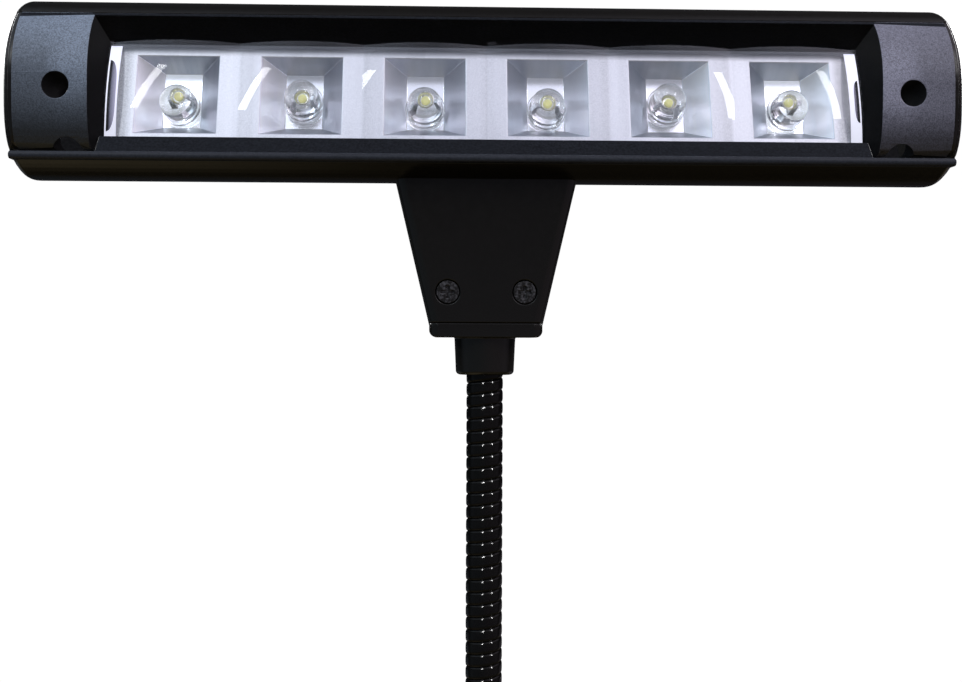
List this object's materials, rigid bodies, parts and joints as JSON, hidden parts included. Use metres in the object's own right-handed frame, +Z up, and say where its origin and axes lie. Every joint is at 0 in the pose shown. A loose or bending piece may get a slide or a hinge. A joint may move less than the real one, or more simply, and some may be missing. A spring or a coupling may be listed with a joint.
{
  "type": "music stand light",
  "caption": "Clip-on music stand light: drum-shaped LED bar with a clear scalloped window on a wound flexible arm, with a battery base and a spring clip.",
  "frame": {"origin": "middle of the fixed jaw pad's face, where the lamp is held", "axes": "+Z up the straight arm, -Y out of the fixed pad and out of the light's window, +X to the window's right as seen from the front"},
  "size_m": [0.187, 0.0604, 0.3976],
  "materials": {
    "shell": "smooth semi-gloss black",
    "bezel": "fine spark-textured charcoal",
    "arm": "glossy black coating",
    "reflector": "satin silver plating",
    "clear": "water-clear, polished",
    "board": "green lacquer",
    "rubber": "matte black",
    "switch": "matte black",
    "dark_steel": "blackened",
    "bright_steel": "plain",
    "cell": "wrapped, plain"
  },
  "bodies": {
    "base": {"base_shell": "shell", "base_back": "shell", "base_screws": "dark_steel", "contact_strips": "bright_steel", "control_board": "board", "switch_unit": "switch", "fixed_pad": "rubber", "hinge_pin": "bright_steel", "torsion_spring": "bright_steel", "lower_collar": "shell", "collar_nut": "bright_steel", "battery_1": "cell", "battery_2": "cell", "battery_3": "cell"},
    "clip_jaw": {"clip_jaw": "shell", "moving_pad": "rubber"},
    "battery_door": {"battery_door": "shell"},
    "switch_button": {"switch_button": "rubber"},
    "link_1": {"gooseneck_1": "arm"},
    "link_2": {"gooseneck_2": "arm"},
    "link_3": {"gooseneck_3": "arm"},
    "link_4": {"gooseneck_4": "arm"},
    "link_5": {"gooseneck_5": "arm"},
    "link_6": {"gooseneck_6": "arm"},
    "link_7": {"gooseneck_7": "arm"},
    "link_8": {"gooseneck_8": "arm"},
    "link_9": {"gooseneck_9": "arm"},
    "link_10": {"gooseneck_10": "arm"},
    "link_11": {"gooseneck_11": "arm"},
    "link_12": {"gooseneck_12": "arm"},
    "link_13": {"gooseneck_13": "arm"},
    "link_14": {"gooseneck_14": "arm"},
    "link_15": {"gooseneck_15": "arm"},
    "head": {"neck_end_cap": "shell", "neck_cover": "shell", "neck_screws": "dark_steel", "rear_shell": "shell", "front_bezel": "bezel", "bezel_screws": "dark_steel", "glare_shield": "bezel", "lens_cover": "clear", "reflector": "reflector", "led_board": "board", "led_1": "clear", "led_2": "clear", "led_3": "clear", "led_4": "clear", "led_5": "clear", "led_6": "clear"}
  },
  "joints": [
    {"name": "jaw_hinge", "type": "hinge", "parent": "base", "child": "clip_jaw", "pos_m": [0, -0.004, 0.024], "axis": [-1, 0, 0], "range_deg": [0, 35], "stiffness_Nm_per_rad": 0.8, "deforming": ["torsion_spring"]},
    {"name": "battery_door_slide", "type": "slide", "parent": "base", "child": "battery_door", "axis": [0, 0, -1], "range_m": [0, 0.056]},
    {"name": "button_press", "type": "slide", "parent": "base", "child": "switch_button", "axis": [0, 0, -1], "range_m": [0, 0.0015], "stiffness_N_per_m": 500},
    {"name": "arm_lower_fore", "type": "hinge", "parent": "base", "child": "link_1", "pos_m": [0, 0.014, 0.0676], "axis": [1, 0, 0], "range_deg": [-20, 20]},
    {"name": "arm_lower_side", "type": "hinge", "parent": "link_1", "child": "link_2", "pos_m": [0, 0.014, 0.08293], "axis": [0, 1, 0], "range_deg": [-12, 12]},
    {"name": "arm_bend_3", "type": "hinge", "parent": "link_2", "child": "link_3", "pos_m": [0, 0.014, 0.09827], "axis": [1, 0, 0], "range_deg": [-20, 20]},
    {"name": "arm_bend_4", "type": "hinge", "parent": "link_3", "child": "link_4", "pos_m": [0, 0.014, 0.1136], "axis": [0, 1, 0], "range_deg": [-12, 12]},
    {"name": "arm_bend_5", "type": "hinge", "parent": "link_4", "child": "link_5", "pos_m": [0, 0.014, 0.12893], "axis": [1, 0, 0], "range_deg": [-20, 20]},
    {"name": "arm_bend_6", "type": "hinge", "parent": "link_5", "child": "link_6", "pos_m": [0, 0.014, 0.14427], "axis": [0, 1, 0], "range_deg": [-12, 12]},
    {"name": "arm_bend_7", "type": "hinge", "parent": "link_6", "child": "link_7", "pos_m": [0, 0.014, 0.1596], "axis": [1, 0, 0], "range_deg": [-20, 20]},
    {"name": "arm_bend_8", "type": "hinge", "parent": "link_7", "child": "link_8", "pos_m": [0, 0.014, 0.17493], "axis": [0, 1, 0], "range_deg": [-12, 12]},
    {"name": "arm_upper_fore", "type": "hinge", "parent": "link_8", "child": "link_9", "pos_m": [0, 0.014, 0.19027], "axis": [1, 0, 0], "range_deg": [-20, 20]},
    {"name": "arm_upper_side", "type": "hinge", "parent": "link_9", "child": "link_10", "pos_m": [0, 0.014, 0.2056], "axis": [0, 1, 0], "range_deg": [-12, 12]},
    {"name": "arm_bend_11", "type": "hinge", "parent": "link_10", "child": "link_11", "pos_m": [0, 0.014, 0.22093], "axis": [1, 0, 0], "range_deg": [-20, 20]},
    {"name": "arm_bend_12", "type": "hinge", "parent": "link_11", "child": "link_12", "pos_m": [0, 0.014, 0.23627], "axis": [0, 1, 0], "range_deg": [-12, 12]},
    {"name": "arm_bend_13", "type": "hinge", "parent": "link_12", "child": "link_13", "pos_m": [0, 0.014, 0.2516], "axis": [1, 0, 0], "range_deg": [-20, 20]},
    {"name": "arm_bend_14", "type": "hinge", "parent": "link_13", "child": "link_14", "pos_m": [0, 0.014, 0.26693], "axis": [0, 1, 0], "range_deg": [-12, 12]},
    {"name": "arm_bend_15", "type": "hinge", "parent": "link_14", "child": "link_15", "pos_m": [0, 0.014, 0.28227], "axis": [1, 0, 0], "range_deg": [-20, 20]},
    {"name": "arm_bend_16", "type": "hinge", "parent": "link_15", "child": "head", "pos_m": [0, 0.014, 0.2976], "axis": [0, 1, 0], "range_deg": [-12, 12]}
  ],
  "couplings": [
    {"joint": "arm_bend_3", "follows": "arm_lower_fore", "ratio": 1},
    {"joint": "arm_bend_4", "follows": "arm_lower_side", "ratio": 1},
    {"joint": "arm_bend_5", "follows": "arm_lower_fore", "ratio": 1},
    {"joint": "arm_bend_6", "follows": "arm_lower_side", "ratio": 1},
    {"joint": "arm_bend_7", "follows": "arm_lower_fore", "ratio": 1},
    {"joint": "arm_bend_8", "follows": "arm_lower_side", "ratio": 1},
    {"joint": "arm_bend_11", "follows": "arm_upper_fore", "ratio": 1},
    {"joint": "arm_bend_12", "follows": "arm_upper_side", "ratio": 1},
    {"joint": "arm_bend_13", "follows": "arm_upper_fore", "ratio": 1},
    {"joint": "arm_bend_14", "follows": "arm_upper_side", "ratio": 1},
    {"joint": "arm_bend_15", "follows": "arm_upper_fore", "ratio": 1},
    {"joint": "arm_bend_16", "follows": "arm_upper_side", "ratio": 1}
  ]
}
